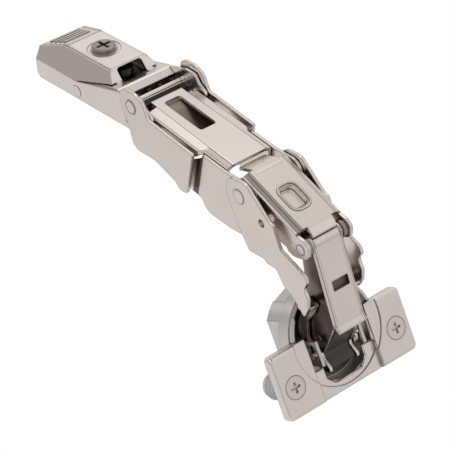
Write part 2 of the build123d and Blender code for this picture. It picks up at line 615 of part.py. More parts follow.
def damper_piston():
    ux, uz, length = unit(PISTON_TOP, PISTON_END)
    gap = PISTON_STROKE + 0.2
    return along((PISTON_TOP[0] + ux * gap, PISTON_TOP[1] + uz * gap), PISTON_END, Circle(PISTON_R))


# =====================================================================
# CUP
# =====================================================================
CUP_R = 17.5            # press-in band of the cup
CUP_EASE = 0.3          # the wall above and below the band is smaller by this
CUP_WALL = 1.3
CUP_WALL_LOW = 1.9
CUP_BELOW = 13.0        # depth of the cup below the door's face
CUP_FLOOR = 1.1
CUP_FLAT = 14.2         # flats on the sides of the cup below the band
SCREW_HALF = 22.5       # from the middle to a screw
SCREW_LOW = 9.5
SCREW_HOLE = 2.2
WING_END = 6.1          # from a screw to the end of the plate
WING_HALF = SCREW_HALF + WING_END
WING_LOW = 19.5         # from the cup centre to the plate's lower edge
WING_HIGH = 3.4         # from the cup centre to the plate's upper edge
WING_SHEET = 1.2
WING_SKIRT = 3.2        # height of the plate over the door's face
WING_CORNER = 1.9       # radius of its corners
WING_ROLL = 1.1         # radius of its rolled edges
DISC_R = 18.3           # round field pressed into the plate
DISC_STEP = 0.45
COLUMN_HALF = 13.2      # deeper field between the wings
WING_STEP = 1.6
MOUTH_LOW = 9.2
SLOT_HALF = 8.4
SLOT_LOW = 15.9
SLOT_CORNER = 2.8
RIM_ROLL = 0.7          # rolled rim round the mouth
CUP_BACK_TOP = -1.6     # rim of the cup behind the plate
ARM_SIDE_HALF = 13.2    # lowered wall where the levers come in
ARM_SIDE_TOP = -2.6
SEATED = 0.02
REGISTER = 0.4          # the cup's rim stands this far into a recess under the plate
REGISTER_PLAY = 0.3
CUP_DEPTH = WING_SKIRT + CUP_BELOW
BAND = (-8.6, -WING_SKIRT - 0.1)

tilt = math.radians(CUP_TILT)
CUP_PLANE = Plane(origin=(CUP_CENTRE[0], 0, CUP_CENTRE[1]), x_dir=(0, 1, 0),
                  z_dir=(math.cos(tilt), 0, math.sin(tilt)))


def in_cup(shape):
    """Cup frame: x across, y up along the door, z out of the door."""
    return CUP_PLANE.location * shape


def prism(face, z0, z1):
    return extrude(Pos(0, 0, z0) * face, amount=z1 - z0)


def wing_area(shrink=0.0):
    high = WING_HIGH - shrink
    low = WING_LOW - shrink
    corner = WING_CORNER - shrink * 0.9
    return Pos(0, (high - low) / 2) * RectangleRounded(2 * (WING_HALF - shrink), high + low, corner)


def column_area(grow=0.0):
    return Pos(0, -WING_LOW / 2) * Rectangle(2 * (COLUMN_HALF + grow), WING_LOW * 2)


def mouth_area(grow=0.0):
    """Wide mouth with a narrower slot for the link's end below it."""
    low = MOUTH_LOW + grow
    wide = Pos(0, 5 - low / 2) * Rectangle(2 * COLUMN_HALF, low + 10)
    half = SLOT_HALF + grow
    end = SLOT_LOW + grow
    slot_face = rounded([(-half, -4, 0), (-half, -end + SLOT_CORNER, 1.5), (-half + SLOT_CORNER, -end, 1.5),
                         (half - SLOT_CORNER, -end, 1.5), (half, -end + SLOT_CORNER, 1.5), (half, -4, 0)])
    return wide + slot_face


def wing_plate():
    body = prism(wing_area(), -WING_SKIRT, 0)
    body = fillet(body.edges().group_by(Axis.Z)[-1], WING_ROLL)
    disc_face = Circle(DISC_R)
    low_step = WING_STEP + DISC_STEP
    body -= prism(disc_face, -DISC_STEP, 1)
    body -= prism(column_area(), -WING_STEP, 1)
    body -= prism(disc_face & column_area(), -low_step, 1)
    # hollow under the wings
    under = wing_area(WING_SHEET) - column_area(WING_SHEET)
    body -= prism(under - Circle(DISC_R + WING_SHEET), -WING_SKIRT - 1, -WING_SHEET)
    body -= prism(under & Circle(DISC_R + 0.3), -WING_SKIRT - 1, -WING_SHEET - DISC_STEP)
    body -= prism(Circle(CUP_R + REGISTER_PLAY), -WING_SKIRT - 1, -WING_SKIRT + REGISTER)
    body -= prism(mouth_area(), -5, 2)
    # rim rolled down into the mouth
    body -= extrude(Pos(0, 0, -low_step - RIM_ROLL * 0.6) * (mouth_area() & column_area(-0.05)),
                    amount=RIM_ROLL * 2,
                    taper=-40)
    for y in (-SCREW_HALF, SCREW_HALF):
        body -= Pos(y, -SCREW_LOW, -WING_SHEET / 2) * Cone(SCREW_HOLE, 4.0, WING_SHEET + 0.01)
        body -= Pos(y, -SCREW_LOW, -2) * Cylinder(SCREW_HOLE, 8)
    return in_cup(body)


def cup():
    top = -WING_SKIRT + REGISTER - SEATED
    slim = CUP_R - CUP_EASE
    body = prism(Circle(slim), -CUP_DEPTH, top) + prism(Circle(CUP_R), BAND[0], BAND[1])
    body += prism(Circle(slim) & (Pos(0, WING_HIGH + 10.05) * Rectangle(50, 20)), top - 1, CUP_BACK_TOP)
    body -= prism(Circle(CUP_R - CUP_WALL), BAND[0], 2)
    well = Circle(CUP_R - CUP_WALL_LOW) & Rectangle(2 * (CUP_FLAT - CUP_WALL), 50)
    body -= prism(well, -CUP_DEPTH + CUP_FLOOR, BAND[0] + 1)
    for side in (-1, 1):
        body -= Pos(side * (CUP_FLAT + 5), 0, BAND[0] - 10) * Box(10, 50, 20)
    # the wall is lower where the levers come in
    body -= Pos(0, 15.0, ARM_SIDE_TOP + 5) * Box(2 * ARM_SIDE_HALF, 20.0, 10.0)
    # flutes in the outside below the press-in band
    for side in (-1, 1):
        for turn, width in ((20, 7.5), (130, 7.0)):
            flute = Pos(CUP_R, 0, BAND[0] - 5.4) * Box(2.0, width, 8.8)
            body -= Rot(0, 0, 90 + side * turn) * flute
    # ears with curved slots for the lower axis
    depth = CUP_DEPTH - CUP_FLOOR / 2
    for side in (-1, 1):
        y = side * (CUP_EAR[0] + CUP_EAR[1]) / 2
        body += Pos(y, -3.9, -(depth + 0.3) / 2) * Box(CUP_EAR[1] - CUP_EAR[0], 9.0, depth - 0.3)
    shape = in_cup(body)
    return shape - pair(slot(CUP_LOW, R_CUP_LOW + OPEN_PLAY, LOW_PATH),
                        (CUP_EAR[0] - 0.3, CUP_EAR[1] + 0.3))


def cup_top_pin():
    return bar(CUP_TOP, R_CUP_TOP, -LINK[1] - 0.15, LINK[1] + 0.15)


def neck_pins():
    return both_bars(CUP_LOW, R_CUP_LOW, NECK[0] - 0.2, CUP_EAR[1] + 0.15)


def cup_screw(side):
    screw = Pos(0, 0, -WING_SHEET / 2) * Cone(2.1, 3.9, WING_SHEET) + Pos(0, 0, -6.0) * Cylinder(1.7, 11.0)
    screw -= cross_recess(1.9, 0.8)
    return in_cup(Pos(side * SCREW_HALF, -SCREW_LOW, 0) * screw)


def cup_dowels():
    body = Part()
    for y in (-SCREW_HALF, SCREW_HALF):
        dowel = Pos(0, 0, -7.1) * Cylinder(4.1, 11.4)
        for i in range(5):
            dowel += Pos(0, 0, -3.4 - 1.95 * i) * Cone(4.1, 4.8, 1.2)
        dowel -= Pos(0, 0, -7) * Cylinder(1.75, 16)
        body += Pos(y, -SCREW_LOW, 0) * dowel
    return in_cup(body)


PARTS = {
    "arm_housing": arm_housing, "arm_floor": arm_floor, "depth_carriage": depth_carriage,
    "depth_screw": depth_screw, "side_screw": side_screw, "side_bush": side_bush, "clip_lever": clip_lever,
    "clip_pin": clip_pin, "clip_spring": clip_spring, "front_roller": front_roller,
    "spring_carrier": arm_spring_block, "fold_pins": fold_pins, "cover_pins": cover_pins,
    "rear_lever": rear_lever, "rear_cover": rear_cover, "cover_pads": cover_pads, "knuckle": knuckle,
    "mid_pin": mid_pin, "mid_bush": mid_bush, "tie_pin": tie_pin, "elbow_pin": elbow_pin,
    "elbow_washers": elbow_washers, "front_plate_left": lambda: front_plate(-1),
    "front_plate_right": lambda: front_plate(1), "front_link": front_link, "link_insert": link_insert,
    "cup": cup, "wing_plate": wing_plate, "damper_block": damper_block, "damper_piston": damper_piston,
    "cup_top_pin": cup_top_pin, "neck_pins": neck_pins, "cup_screw_left": lambda: cup_screw(-1),
    "cup_screw_right": lambda: cup_screw(1),
    "cup_dowels": cup_dowels,
}

for name, make in PARTS.items():
    shape = Pos(SEAT_X, 0, SEAT_Z) * make()
    export_step(shape, f"parts/{name}.step")
    print(name, len(shape.solids()), round(shape.volume, 1))
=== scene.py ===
import json
import math

import bmesh
import bpy
from mathutils import Matrix, Vector


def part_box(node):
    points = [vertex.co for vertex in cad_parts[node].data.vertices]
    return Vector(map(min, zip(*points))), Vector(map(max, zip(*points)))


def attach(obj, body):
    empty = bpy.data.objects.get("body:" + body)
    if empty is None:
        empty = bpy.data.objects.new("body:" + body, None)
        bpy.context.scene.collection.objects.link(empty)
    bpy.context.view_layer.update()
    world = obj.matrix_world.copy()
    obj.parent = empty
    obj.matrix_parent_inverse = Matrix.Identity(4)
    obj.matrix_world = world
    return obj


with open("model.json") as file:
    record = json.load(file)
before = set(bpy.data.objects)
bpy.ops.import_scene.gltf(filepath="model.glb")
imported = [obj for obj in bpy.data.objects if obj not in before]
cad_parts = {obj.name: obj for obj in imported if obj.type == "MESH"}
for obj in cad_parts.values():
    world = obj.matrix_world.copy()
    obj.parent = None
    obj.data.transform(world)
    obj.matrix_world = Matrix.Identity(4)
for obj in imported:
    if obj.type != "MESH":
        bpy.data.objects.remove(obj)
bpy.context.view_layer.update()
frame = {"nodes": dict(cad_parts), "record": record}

scene = bpy.context.scene
scene.view_settings.view_transform = "Standard"
nodes = frame["nodes"]
print("frame loaded:", len(nodes), "nodes")

mm = 0.001  # the scene is in metres, and places from the fold axis are given in millimetres
foldAxis = (28.0, 10.8)  # x and z of the arm's fold axis, from the seat


def spot(x, y, z):
    # a point measured from the fold axis, in millimetres
    return Vector(((x + foldAxis[0]) * mm, y * mm, (z + foldAxis[1]) * mm))


class Wire:
    # one output socket; sums and products on it add Math nodes
    def __init__(self, shade, socket):
        self.shade, self.socket = shade, socket

    def math(self, operation, *others):
        return self.shade.add("ShaderNodeMath", {"operation": operation}, [self, *others])

    def __add__(self, other):
        return self.math("ADD", other)

    def __radd__(self, other):
        return self.math("ADD", other)

    def __sub__(self, other):
        return self.math("SUBTRACT", other)

    def __rsub__(self, other):
        return self.shade.add("ShaderNodeMath", {"operation": "SUBTRACT"}, [other, self])

    def __mul__(self, other):
        return self.math("MULTIPLY", other)

    def __rmul__(self, other):
        return self.math("MULTIPLY", other)

    def __truediv__(self, other):
        return self.math("DIVIDE", other)

    def clamp(self):
        return self.shade.add("ShaderNodeClamp", {}, [self])

    def size(self):
        return self.math("ABSOLUTE")

    def step(self, low, high):
        # 0 below low, 1 above high, smooth between
        return self.shade.add("ShaderNodeMapRange", {"interpolation_type": "SMOOTHSTEP"}, {
            "Value": self, "From Min": low, "From Max": high, "To Min": 0.0, "To Max": 1.0})


bendLine = {  # by the dot product of rounded and true normal: 1 is flat, lower is nearer to a bend
    "ridge": (0.93, 0.965), "plain": (0.978, 0.992), "ridgeTone": 0.35, "samples": 6,
}
creaseSamples = 8


class Shade:
    # one node tree, and the nodes that this scene needs in it
    def __init__(self, name, tree=None):
        if tree is None:
            self.material = bpy.data.materials.new(name)
            self.material.use_nodes = True
            tree = self.material.node_tree
        self.tree = tree
        self.tree.nodes.clear()

    def put(self, socket, value):
        if isinstance(value, Wire):
            self.tree.links.new(value.socket, socket)
        else:
            socket.default_value = value

    def add(self, kind, settings, inputs, out=0):
        # settings first, then socket values or links, by position or by name
        node = self.tree.nodes.new(kind)
        for key, value in settings.items():
            if key == "stops":
                ramp = node.color_ramp
                while len(ramp.elements) < len(value):
                    ramp.elements.new(0.5)
                for element, (place, colour) in zip(ramp.elements, value):
                    element.position = place
                    element.color = (*colour, 1.0)
            else:
                setattr(node, key, value)
        pairs = inputs.items() if isinstance(inputs, dict) else enumerate(inputs)
        for key, value in pairs:
            self.put(node.inputs[key], value)
        return node if out is None else Wire(self, node.outputs[out])

    def place(self, scale=(1, 1, 1)):
        where = self.add("ShaderNodeTexCoord", {}, [], "Object")
        return self.add("ShaderNodeMapping", {}, {"Vector": where, "Scale": scale})

    def split(self, vector):
        node = self.add("ShaderNodeSeparateXYZ", {}, [vector], None)
        return [Wire(self, output) for output in node.outputs]

    def noise(self, grain, where=None):
        # grain is scale, detail and roughness
        scale, detail, rough = grain
        return self.add("ShaderNodeTexNoise", {}, {
            "Vector": where or self.place(), "Scale": scale, "Detail": detail, "Roughness": rough}, "Fac")

    def mix(self, factor, first, second):
        node = self.add("ShaderNodeMix", {"data_type": "RGBA"}, [], None)
        for key, value in (("Factor_Float", factor), ("A_Color", first), ("B_Color", second)):
            socket = next(s for s in node.inputs if s.identifier == key)
            self.put(socket, (*value, 1.0) if isinstance(value, tuple) else value)
        return Wire(self, next(s for s in node.outputs if s.identifier == "Result_Color"))

    def crease(self, distance, low, high):
        # painted shade: 1 in the corners where two faces or two pieces meet, 0 on open faces
        light = self.add("ShaderNodeAmbientOcclusion", {"samples": creaseSamples}, {
            "Distance": distance}, "AO")
        return 1 - light.step(low, high)

    def rounded(self, radius, samples):
        # the normal as if each bend and rim had this radius
        return self.add("ShaderNodeBevel", {"samples": samples}, {"Radius": radius})

    def edge(self, radius):
        # painted shade: 1 in a fine dark line on both sides of each bend and rim, less on its bright ridge,
        # 0 on open faces
        bent = self.rounded(radius, bendLine["samples"])
        true = self.add("ShaderNodeNewGeometry", {}, [], "True Normal")
        same = self.add("ShaderNodeVectorMath", {"operation": "DOT_PRODUCT"}, [bent, true], "Value")
        line = 1 - same.step(*bendLine["plain"])
        return line * (bendLine["ridgeTone"] + same.step(*bendLine["ridge"]) * (1 - bendLine["ridgeTone"]))

    def bump(self, strength, distance, height, normal):
        return self.add("ShaderNodeBump", {}, {
            "Strength": strength, "Distance": distance, "Height": height, "Normal": normal})

    def finish(self, colour, roughness, metal, normal):
        shader = self.add("ShaderNodeBsdfPrincipled", {}, {
            "Base Color": colour, "Roughness": roughness, "Metallic": metal, "Normal": normal})
        self.add("ShaderNodeOutputMaterial", {}, [shader], None)
        return self.material


def shaded(colour, share):
    # a colour made darker or lighter, at most 1
    return tuple(min(1.0, c * share) for c in colour)


# finishes: plated sheet, turned steel and moulded plastic
nickel = {
    "colour": (0.725, 0.658, 0.612), "cloud": (0.665, 0.600, 0.555), "paintedShade": (0.055, 0.045, 0.038),
    "cloudGrain": (55, 4, 0.55), "fineGrain": (1500, 2, 0.55), "rolledGrain": (600, 2, 0.5),
    "brush": (1, 6, 1), "cloudStart": 0.35, "cloudGain": 1.5, "lineWidth": 0.00042, "lineDepth": 0.9,
    "creaseReach": 0.0008, "crease": (0.42, 0.80),
    "rough": 0.23, "roughDrop": 0.05, "roughCloud": 0.07, "roughRolled": 0.04,
    "edge": 0.00042, "edgeSamples": 6, "grain": 0.006, "grainHeight": 0.0002,
}


def platedSheet(name, colour=nickel["colour"], cloudColour=nickel["cloud"], rough=nickel["rough"],
                edge=nickel["edge"], shadow=None):
    # plated sheet steel: faint clouds and rolling marks, rounded bright edges, and painted shade: dark lines
    # along bends and rims and in the corners
    s = Shade(name)
    cloud = s.noise(nickel["cloudGrain"])
    fine = s.noise(nickel["fineGrain"])
    rolled = s.noise(nickel["rolledGrain"], s.place(nickel["brush"]))
    base = s.mix((cloud - nickel["cloudStart"]) * nickel["cloudGain"], colour, cloudColour)
    if shadow is not None:
        base = shadow(s, base)
    # painted shade: dark lines along each bend and rim, then darkening in the corners
    base = s.mix(s.edge(nickel["lineWidth"]) * nickel["lineDepth"], base, nickel["paintedShade"])
    base = s.mix(s.crease(nickel["creaseReach"], *nickel["crease"]), base, nickel["paintedShade"])
    roughness = rough - nickel["roughDrop"] + cloud * nickel["roughCloud"] + rolled * nickel["roughRolled"]
    bent = s.rounded(edge, nickel["edgeSamples"])
    bump = s.bump(nickel["grain"], nickel["grainHeight"], fine * 0.5 + rolled * 0.5, bent)
    return s.finish(base, roughness, 1.0, bump)


turned = {
    "cloudGrain": (160, 3, 0.5), "fineGrain": (2600, 2, 0.6), "cloudTone": 0.88, "roughCloud": 0.06,
    "shadeTone": 0.15, "shadeDepth": 0.8, "lineWidth": 0.00024, "creaseReach": 0.0004, "crease": (0.35, 0.75),
    "edge": 0.0002, "edgeSamples": 4, "grain": 0.02, "grainHeight": 0.0002,
}


def turnedSteel(name, colour, rough):
    # turned and plated: faint clouds, and painted shade as a dark line at the rim and in the corners
    s = Shade(name)
    cloud = s.noise(turned["cloudGrain"])
    fine = s.noise(turned["fineGrain"])
    rimShade = shaded(colour, turned["shadeTone"])
    base = s.mix(cloud, colour, shaded(colour, turned["cloudTone"]))
    # painted shade along the rim and in the corners
    base = s.mix(s.edge(turned["lineWidth"]) * turned["shadeDepth"], base, rimShade)
    base = s.mix(s.crease(turned["creaseReach"], *turned["crease"]) * turned["shadeDepth"], base, rimShade)
    bump = s.bump(turned["grain"], turned["grainHeight"], fine,
                  s.rounded(turned["edge"], turned["edgeSamples"]))
    return s.finish(base, rough + cloud * turned["roughCloud"], 1.0, bump)


moulded = {
    "cloudGrain": (90, 3, 0.5), "fineGrain": (3600, 2, 0.7), "cloudTone": 1.2, "roughCloud": 0.1,
    "shadeTone": 0.35, "shadeDepth": 0.8, "creaseReach": 0.0006, "crease": (0.30, 0.70),
    "edge": 0.00025, "edgeSamples": 4, "grain": 0.2, "grainHeight": 0.0001,
}


def mouldedPlastic(name, colour, rough):
    # moulded plastic: very fine spark-eroded texture, and painted shade in the corners
    s = Shade(name)
    cloud = s.noise(moulded["cloudGrain"])
    fine = s.noise(moulded["fineGrain"])
    base = s.mix(cloud, colour, shaded(colour, moulded["cloudTone"]))
    # painted shade in the corners
    base = s.mix(s.crease(moulded["creaseReach"], *moulded["crease"]) * moulded["shadeDepth"], base,
                 shaded(colour, moulded["shadeTone"]))
    bump = s.bump(moulded["grain"], moulded["grainHeight"], fine,
                  s.rounded(moulded["edge"], moulded["edgeSamples"]))
    return s.finish(base, rough + cloud * moulded["roughCloud"], 0.0, bump)


# painted shade: dark lines along and beside the bends at the top of each channel, drawn only where the metal
# is near the top's height
bendShadeLine = {"core": 0.00004, "fade": 0.00017, "top": (-0.0011, -0.0007)}  # in metres
bendShadeLines = {  # x and z of start and end in mm, then of each line its half width there and how dark it is
    "cover": ((1.9, -0.3), (44.5, -6.3), [(6.75, 7.3, 0.95)]),
    "knuckle": ((52.4, -5.7), (77.4, -16.1), [(6.95, 6.95, 0.95), (7.75, 7.75, 0.8)]),
    "link": ((80.9, -21.6), (90.2, -49.1), [(5.75, 5.75, 0.95), (5.0, 5.0, 0.35)]),
    "housing": ((-57.2, 4.8), (0, 4.8), [(7.75, 7.75, 0.9), (6.9, 6.9, 0.35)]),
}


def linesOf(piece):
    (xa, za), (xb, zb), lines = bendShadeLines[piece]

    def drawn(s, base):
        x, y, z = s.split(s.place())
        along = x - spot(xa, 0, 0).x
        above = z - along * ((zb - za) / (xb - xa)) - spot(0, 0, za).z
        top = above.step(*bendShadeLine["top"])
        for first, last, depth in lines:
            middle = y.size() - along * ((last - first) / (xb - xa)) - first * mm
            line = 1 - middle.size().step(bendShadeLine["core"], bendShadeLine["fade"])
            # painted shade line
            base = s.mix(line * top * depth, base, nickel["paintedShade"])
        return base

    return drawn


leverStep = {  # low and high from the fold axis in millimetres, the rest in metres
    "low": (27.2, -22.2), "high": (31.7, -5.4), "width": 0.0025, "lead": 0.0004, "tail": 0.0003,
    "depth": 0.011, "reach": (0.0003, 0.0006), "tone": (0.135, 0.115, 0.098),
}


def stepShadow(s, base):
    # painted shade: the strip of the rear lever where its side steps inwards is painted dark, for the shade
    # in the step
    x, y, z = s.split(s.place())
    (xa, za), (xb, zb) = leverStep["low"], leverStep["high"]
    front = x - (z - spot(0, 0, za).z) * ((xb - xa) / (zb - za)) - spot(xa, 0, 0).x
    start = front.step(-leverStep["lead"], 0)
    end = front.step(leverStep["width"], leverStep["width"] + leverStep["tail"])
    strip = start * (1 - end)
    inner = 1 - (y.size() - leverStep["depth"]).size().step(*leverStep["reach"])
    return s.mix(strip * inner, base, leverStep["tone"])


# painted shade and reflection on the front link's cheeks
boot = {  # places in metres, in the scene's own x and z
    "dark": (0.165, 0.138, 0.120), "light": (0.40, 0.345, 0.295), "fade": (0.1030, 0.1095), "lean": 0.05,
    "drift": 0.006, "driftGrain": (70, 2, 0.5), "flat": (0.75, 0.95), "upper": (-0.006, 0.004),
}


def bootShadow(s, base):
    # painted shade and reflection: the cheeks of the front link are painted dark, fading to lighter metal at
    # their back edge
    x, y, z = s.split(s.place())
    normal = s.split(s.add("ShaderNodeNewGeometry", {}, [], "Normal"))
    flat = normal[1].size().step(*boot["flat"])
    drift = s.noise(boot["driftGrain"]) * boot["drift"] - boot["drift"] / 2
    depth = (x + drift - z * boot["lean"]).step(*boot["fade"])
    tone = s.mix(depth, boot["light"], boot["dark"])
    return s.mix(flat * (1 - z.step(*boot["upper"])), base, tone)


def linkShadow(s, base):
    return bootShadow(s, linesOf("link")(s, base))


sheet = platedSheet("platedSheet")
cover = platedSheet("platedCover", (0.745, 0.680, 0.632), (0.69, 0.625, 0.58), 0.24, shadow=linesOf("cover"))
knuckleSheet = platedSheet("platedKnuckle", (0.735, 0.670, 0.622), (0.68, 0.615, 0.57), 0.24,
                           shadow=linesOf("knuckle"))
housing = platedSheet("platedHousing", (0.76, 0.700, 0.660), (0.70, 0.640, 0.600), 0.23,
                      shadow=linesOf("housing"))
leverSheet = platedSheet("platedLever", shadow=stepShadow)
link = platedSheet("platedLink", (0.715, 0.655, 0.62), (0.66, 0.600, 0.565), 0.25, shadow=linkShadow)
doorPlate = platedSheet("platedDoorPlate", (0.735, 0.672, 0.63), (0.68, 0.618, 0.58), 0.24, edge=0.0005)
castCup = platedSheet("platedCasting", (0.62, 0.60, 0.575), (0.54, 0.52, 0.495), 0.34, edge=0.0004)
innerSteel = platedSheet("innerSteel", (0.34, 0.315, 0.29), (0.26, 0.24, 0.22), 0.36)
springSteel = turnedSteel("springSteel", (0.10, 0.085, 0.072), 0.32)
# painted shade: the dark brown sheet seen through the cover's window
windowShadeSteel = platedSheet("windowShadeSteel", (0.30, 0.26, 0.225), (0.20, 0.17, 0.145), 0.42)
pinSteel = turnedSteel("pinSteel", (0.745, 0.685, 0.645), 0.18)
screwSteel = turnedSteel("screwSteel", (0.70, 0.645, 0.60), 0.24)
zincScrew = turnedSteel("zincScrew", (0.34, 0.305, 0.265), 0.17)
blackScrew = turnedSteel("blackScrew", (0.075, 0.068, 0.06), 0.34)
pistonRod = turnedSteel("pistonRod", (0.70, 0.69, 0.68), 0.15)
darkPlastic = mouldedPlastic("darkPlastic", (0.043, 0.040, 0.037), 0.40)
smokePlastic = mouldedPlastic("smokePlastic", (0.135, 0.122, 0.108), 0.42)
greyPlastic = mouldedPlastic("greyPlastic", (0.60, 0.62, 0.62), 0.48)
seamSteel = turnedSteel("pinSeam", (0.060, 0.050, 0.042), 0.45)

finishOf = {  # by the record's material slot
    "plated_sheet": sheet, "cast_cup": castCup, "inner_steel": innerSteel, "pin_steel": pinSteel,
    "screw_steel": screwSteel, "dark_screw": blackScrew, "piston_steel": pistonRod,
    "dark_plastic": darkPlastic, "grey_plastic": greyPlastic,
}
ownFinish = {  # by node, where it differs from its slot's
    "rear_cover": cover, "knuckle": knuckleSheet, "front_link": link, "clip_lever": housing,
    "arm_housing": housing, "rear_lever": leverSheet, "wing_plate": doorPlate, "depth_screw": zincScrew,
    "link_insert": smokePlastic,
}
for part in frame["record"]["subparts"]:
    solid = nodes[part["node"]]
    finish = ownFinish.get(part["node"], finishOf[part["material_slot"]])
    if not solid.material_slots:
        solid.data.materials.append(finish)
    for slot in solid.material_slots:
        slot.link = "OBJECT"
        slot.material = finish
print("finishes set")

socketKind = {"Finish": "NodeSocketMaterial", "Sides": "NodeSocketInt", "Steps": "NodeSocketInt"}
upright = (math.pi / 2, 0, 0)  # turns an axis along z to lie along y


def newTree(name, sizes):
    # an empty tree with named inputs, numbers unless socketKind says otherwise
    tree = bpy.data.node_groups.new(name, "GeometryNodeTree")
    tree.interface.new_socket(name="Geometry", in_out="INPUT", socket_type="NodeSocketGeometry")
    for label in sizes:
        kind = socketKind.get(label, "NodeSocketFloat")
        tree.interface.new_socket(name=label, in_out="INPUT", socket_type=kind)
    tree.interface.new_socket(name="Geometry", in_out="OUTPUT", socket_type="NodeSocketGeometry")
    return tree, tree.nodes.new("NodeGroupInput").outputs, tree.nodes.new("NodeGroupOutput")


def addNode(tree, kind, settings, inputs):
    # adds a node and gives its first output
    node = tree.nodes.new(kind)
    for key, value in settings.items():
        setattr(node, key, value)
    for key, value in inputs.items():
        if isinstance(value, bpy.types.NodeSocket):
            tree.links.new(value, node.inputs[key])
        else:
            node.inputs[key].default_value = value
    return node.outputs[0]


def closeTree(tree, given, result, shape):
    solid = addNode(tree, "GeometryNodeRealizeInstances", {}, {"Geometry": shape})
    coated = addNode(tree, "GeometryNodeSetMaterial", {}, {"Geometry": solid, "Material": given["Finish"]})
    tree.links.new(coated, result.inputs[0])


def wireCircle(tree, given):
    # the round section of a wire
    return addNode(tree, "GeometryNodeCurvePrimitiveCircle", {}, {
        "Resolution": given["Sides"], "Radius": given["Wire"]})


def ringTree():
    # one small torus, its axis along y, on every point, as large as the point's own radius
    tree, given, result = newTree("headRings", ["Wire", "Sides", "Steps", "Finish"])
    loop = addNode(tree, "GeometryNodeCurvePrimitiveCircle", {}, {
        "Resolution": given["Steps"], "Radius": 1.0})
    torus = addNode(tree, "GeometryNodeCurveToMesh", {}, {
        "Curve": loop, "Profile Curve": wireCircle(tree, given)})
    turnedTorus = addNode(tree, "GeometryNodeTransform", {}, {"Geometry": torus, "Rotation": upright})
    radius = addNode(tree, "GeometryNodeInputNamedAttribute", {"data_type": "FLOAT"}, {"Name": "radius"})
    spread = addNode(tree, "GeometryNodeInstanceOnPoints", {}, {
        "Points": given["Geometry"], "Instance": turnedTorus, "Scale": radius})
    closeTree(tree, given, result, spread)
    return tree


def coilTree():
    # a round-wire coil, its axis along y, its middle on each point
    sizes = ["Radius", "Wire", "Turns", "Length", "Sides", "Steps", "Finish"]
    tree, given, result = newTree("wireCoil", sizes)
    spiral = addNode(tree, "GeometryNodeCurveSpiral", {}, {
        "Resolution": given["Steps"], "Rotations": given["Turns"], "Start Radius": given["Radius"],
        "End Radius": given["Radius"], "Height": given["Length"]})
    coil = addNode(tree, "GeometryNodeCurveToMesh", {}, {
        "Curve": spiral, "Profile Curve": wireCircle(tree, given), "Fill Caps": True})
    half = addNode(tree, "ShaderNodeMath", {"operation": "MULTIPLY"}, {0: given["Length"], 1: -0.5})
    middle = addNode(tree, "ShaderNodeCombineXYZ", {}, {"Z": half})
    centred = addNode(tree, "GeometryNodeTransform", {}, {"Geometry": coil, "Translation": middle})
    turnedCoil = addNode(tree, "GeometryNodeTransform", {}, {"Geometry": centred, "Rotation": upright})
    spread = addNode(tree, "GeometryNodeInstanceOnPoints", {}, {
        "Points": given["Geometry"], "Instance": turnedCoil})
    closeTree(tree, given, result, spread)
    return tree


def keep(name, mesh):
    mesh.name = name
    piece = bpy.data.objects.new(name, mesh)
    scene.collection.objects.link(piece)
    return piece


def grow(name, tree, points, inputs, radii=None):
    # runs a tree on loose points and keeps the result as a plain mesh
    seeds = bpy.data.meshes.new(name + "Points")
    seeds.from_pydata([tuple(p) for p in points], [], [])
    if radii is not None:
        seeds.attributes.new("radius", "FLOAT", "POINT").data.foreach_set("value", radii)
    carrier = bpy.data.objects.new(name + "Points", seeds)
    scene.collection.objects.link(carrier)
    modifier = carrier.modifiers.new("shape", "NODES")
    modifier.node_group = tree
    for item in tree.interface.items_tree:
        if item.in_out == "INPUT" and item.name in inputs:
            modifier[item.identifier] = inputs[item.name]
    ready = carrier.evaluated_get(bpy.context.evaluated_depsgraph_get())
    mesh = bpy.data.meshes.new_from_object(ready)
    carrier.modifiers.remove(modifier)
    bpy.data.objects.remove(carrier)
    for face in mesh.polygons:
        face.use_smooth = True
    return keep(name, mesh)


# dark seams on the pin heads
rings = {"wire": 0.06, "share": 0.86, "sides": 8, "steps": 40}  # shares: wire of ring, ring of head
headList = [  # body, node, x and z from the fold axis, head radius, how far the ring stands out, in mm
    ("arm", "fold_pins", 0.0, 0.0, 2.63, 0.07),
    ("knuckle", "mid_pin", 52.74, -12.47, 2.64, 0.02),
    ("knuckle", "elbow_pin", 78.83, -22.10, 2.05, 0.06),
    ("front_link", "cup_top_pin", 81.99, -57.01, 1.25, 0.04),
]
ringBuilder = ringTree()
for body in sorted({entry[0] for entry in headList}):
    points, radii = [], []
    for _, node, x, z, radius, proud in (entry for entry in headList if entry[0] == body):
        low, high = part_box(node)
        sink = (rings["wire"] * radius * rings["share"] - proud) * mm
        for y in (low[1] + sink, high[1] - sink):
            points.append((spot(x, 0, z).x, y, spot(x, 0, z).z))
            radii.append(radius * rings["share"] * mm)
    piece = grow(body + "HeadRings", ringBuilder, points, {
        "Wire": rings["wire"], "Sides": rings["sides"], "Steps": rings["steps"], "Finish": seamSteel}, radii)
    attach(piece, body)
print("head rings made")

# closing spring in the knuckle, in millimetres from the fold axis
spring = {
    "x": 72.3, "z": -21.4, "radius": 2.1, "wire": 0.55, "length": 10.4, "turns": 9.0,
    "steps": 28, "sides": 10,
}
piece = grow("closingSpring", coilTree(), [spot(spring["x"], 0, spring["z"])], {
    "Radius": spring["radius"] * mm, "Wire": spring["wire"] * mm, "Length": spring["length"] * mm,
    "Turns": spring["turns"], "Sides": spring["sides"], "Steps": spring["steps"], "Finish": springSteel})
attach(piece, "knuckle")
print("closing spring made")

# folded plate under the window of the rear cover, in millimetres from the fold axis; its dark brown is
# painted shade for the inside of the window
windowShadeStrip = {"half": 8.6, "thick": 0.8, "line": [(5.0, -2.3), (8.6, -3.2), (20.4, -11.0), (27.0, -9.4)]}


